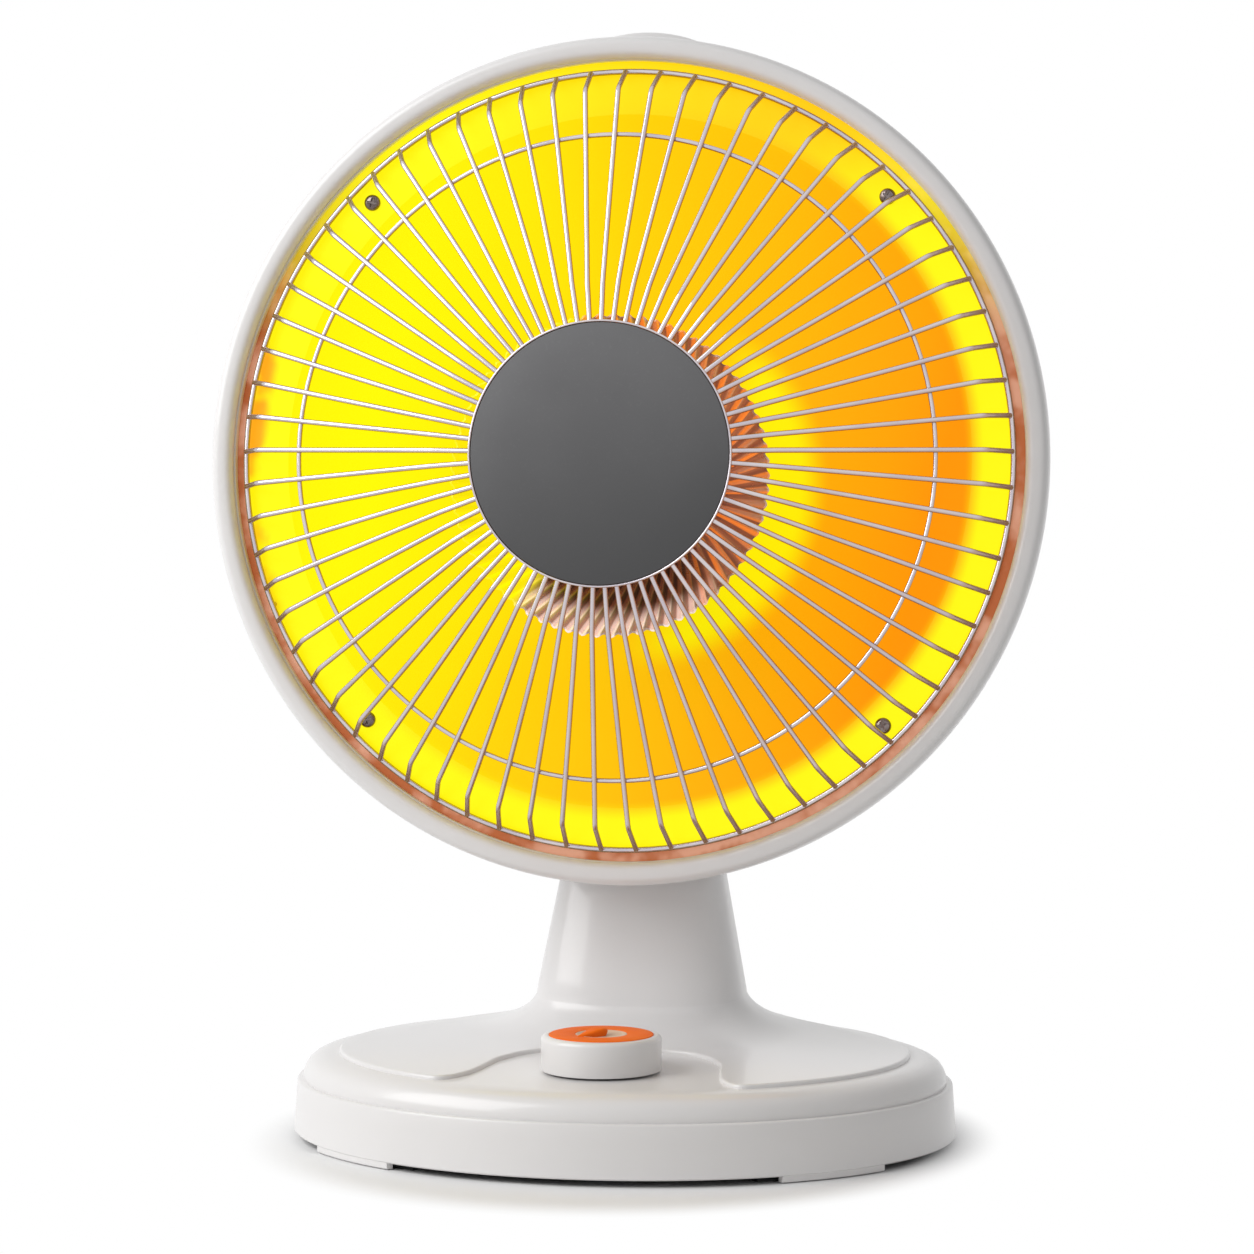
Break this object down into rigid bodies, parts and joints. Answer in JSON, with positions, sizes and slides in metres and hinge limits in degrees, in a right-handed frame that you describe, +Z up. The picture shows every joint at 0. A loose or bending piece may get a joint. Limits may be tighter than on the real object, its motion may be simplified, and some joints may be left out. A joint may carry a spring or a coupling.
{
  "type": "parabolic heater",
  "caption": "Table-top parabolic radiant heater: round dish head with wire guard on an oval base, swinging and tilting, with a rotary knob.",
  "frame": {"origin": "centre of the oval base, on the surface that the heater stands on", "axes": "+Z up, -Y the way the dish faces, +X to the right as seen from the front"},
  "size_m": [0.32, 0.205, 0.4221],
  "materials": {
    "white_plastic": "gloss",
    "ivory_plastic": "satin",
    "dark_plastic": "matte",
    "orange_plastic": "gloss",
    "cream_plastic": "gloss",
    "rubber_feet": "matte",
    "zinc_steel": "satin",
    "chrome_wire": "polished",
    "screw_steel": "polished",
    "cast_weight": "rough",
    "reflector_metal": "mirror polished, lit yellow by the element",
    "collar_metal": "polished, copper tinted",
    "shield_metal": "satin",
    "ceramic": "glazed ceramic",
    "hot_wire": "glowing",
    "hub_grey": "fine satin texture",
    "wire_insulation": "satin"
  },
  "bodies": {
    "base": {"base_skirt": "white_plastic", "bottom_plate": "zinc_steel", "foot_pads": "rubber_feet", "base_screws": "screw_steel", "base_ballast": "cast_weight", "top_cover": "white_plastic", "column_cap": "white_plastic", "cap_screws": "screw_steel", "swivel_bush": "ivory_plastic", "swing_motor": "zinc_steel", "motor_screws": "screw_steel", "cord_gland": "white_plastic", "terminal_block": "ivory_plastic", "rotary_switch": "dark_plastic", "base_wiring": "wire_insulation", "tip_switch": "dark_plastic"},
    "plunger": {"tip_plunger": "ivory_plastic"},
    "knob": {"knob_shaft": "zinc_steel", "knob_body": "white_plastic", "knob_ring": "orange_plastic", "knob_disc": "cream_plastic", "knob_grip": "orange_plastic"},
    "crank": {"crank_disc": "ivory_plastic"},
    "neck": {"swivel_fork": "white_plastic", "swivel_axle": "zinc_steel", "axle_clip": "zinc_steel", "crank_arm": "zinc_steel", "arm_screw": "screw_steel", "tilt_pin": "zinc_steel", "tilt_nut": "zinc_steel", "tilt_washers": "dark_plastic"},
    "head": {"tilt_block": "white_plastic", "block_screws": "screw_steel", "rear_shell": "white_plastic", "front_ring": "white_plastic", "shell_screws": "screw_steel", "carry_handle": "white_plastic", "handle_screws": "screw_steel", "reflector": "reflector_metal", "reflector_screws": "screw_steel", "fluted_collar": "collar_metal", "ceramic_core": "ceramic", "heating_coil": "hot_wire", "element_socket": "ceramic", "element_bracket": "zinc_steel", "thermal_cutout": "dark_plastic", "heat_shield": "shield_metal", "head_wiring": "wire_insulation", "guard_wires": "chrome_wire", "guard_outer_ring": "chrome_wire", "guard_mid_ring": "chrome_wire", "guard_hub_plate": "hub_grey", "guard_hub_rim": "screw_steel"}
  },
  "joints": [
    {"name": "knob_turn", "type": "hinge", "parent": "base", "child": "knob", "pos_m": [0, -0.047, 0.035], "axis": [0, 0, 1], "range_deg": [-120, 60]},
    {"name": "tip_plunge", "type": "slide", "parent": "base", "child": "plunger", "axis": [0, 0, 1], "range_m": [-0.004, 0], "stiffness_N_per_m": 40, "springref_m": -0.008},
    {"name": "head_swivel", "type": "hinge", "parent": "base", "child": "neck", "pos_m": [0, 0.046, 0.1], "axis": [0, 0, 1], "range_deg": [-35, 35]},
    {"name": "crank_turn", "type": "hinge", "parent": "base", "child": "crank", "pos_m": [0, 0.046, 0.065], "axis": [0, 0, 1], "range_deg": [-90, 90]},
    {"name": "head_tilt", "type": "hinge", "parent": "neck", "child": "head", "pos_m": [0, 0.053, 0.124], "axis": [1, 0, 0], "range_deg": [-20, 8]}
  ],
  "couplings": [
    {"joint": "crank_turn", "follows": "head_swivel", "ratio": 2.5}
  ]
}
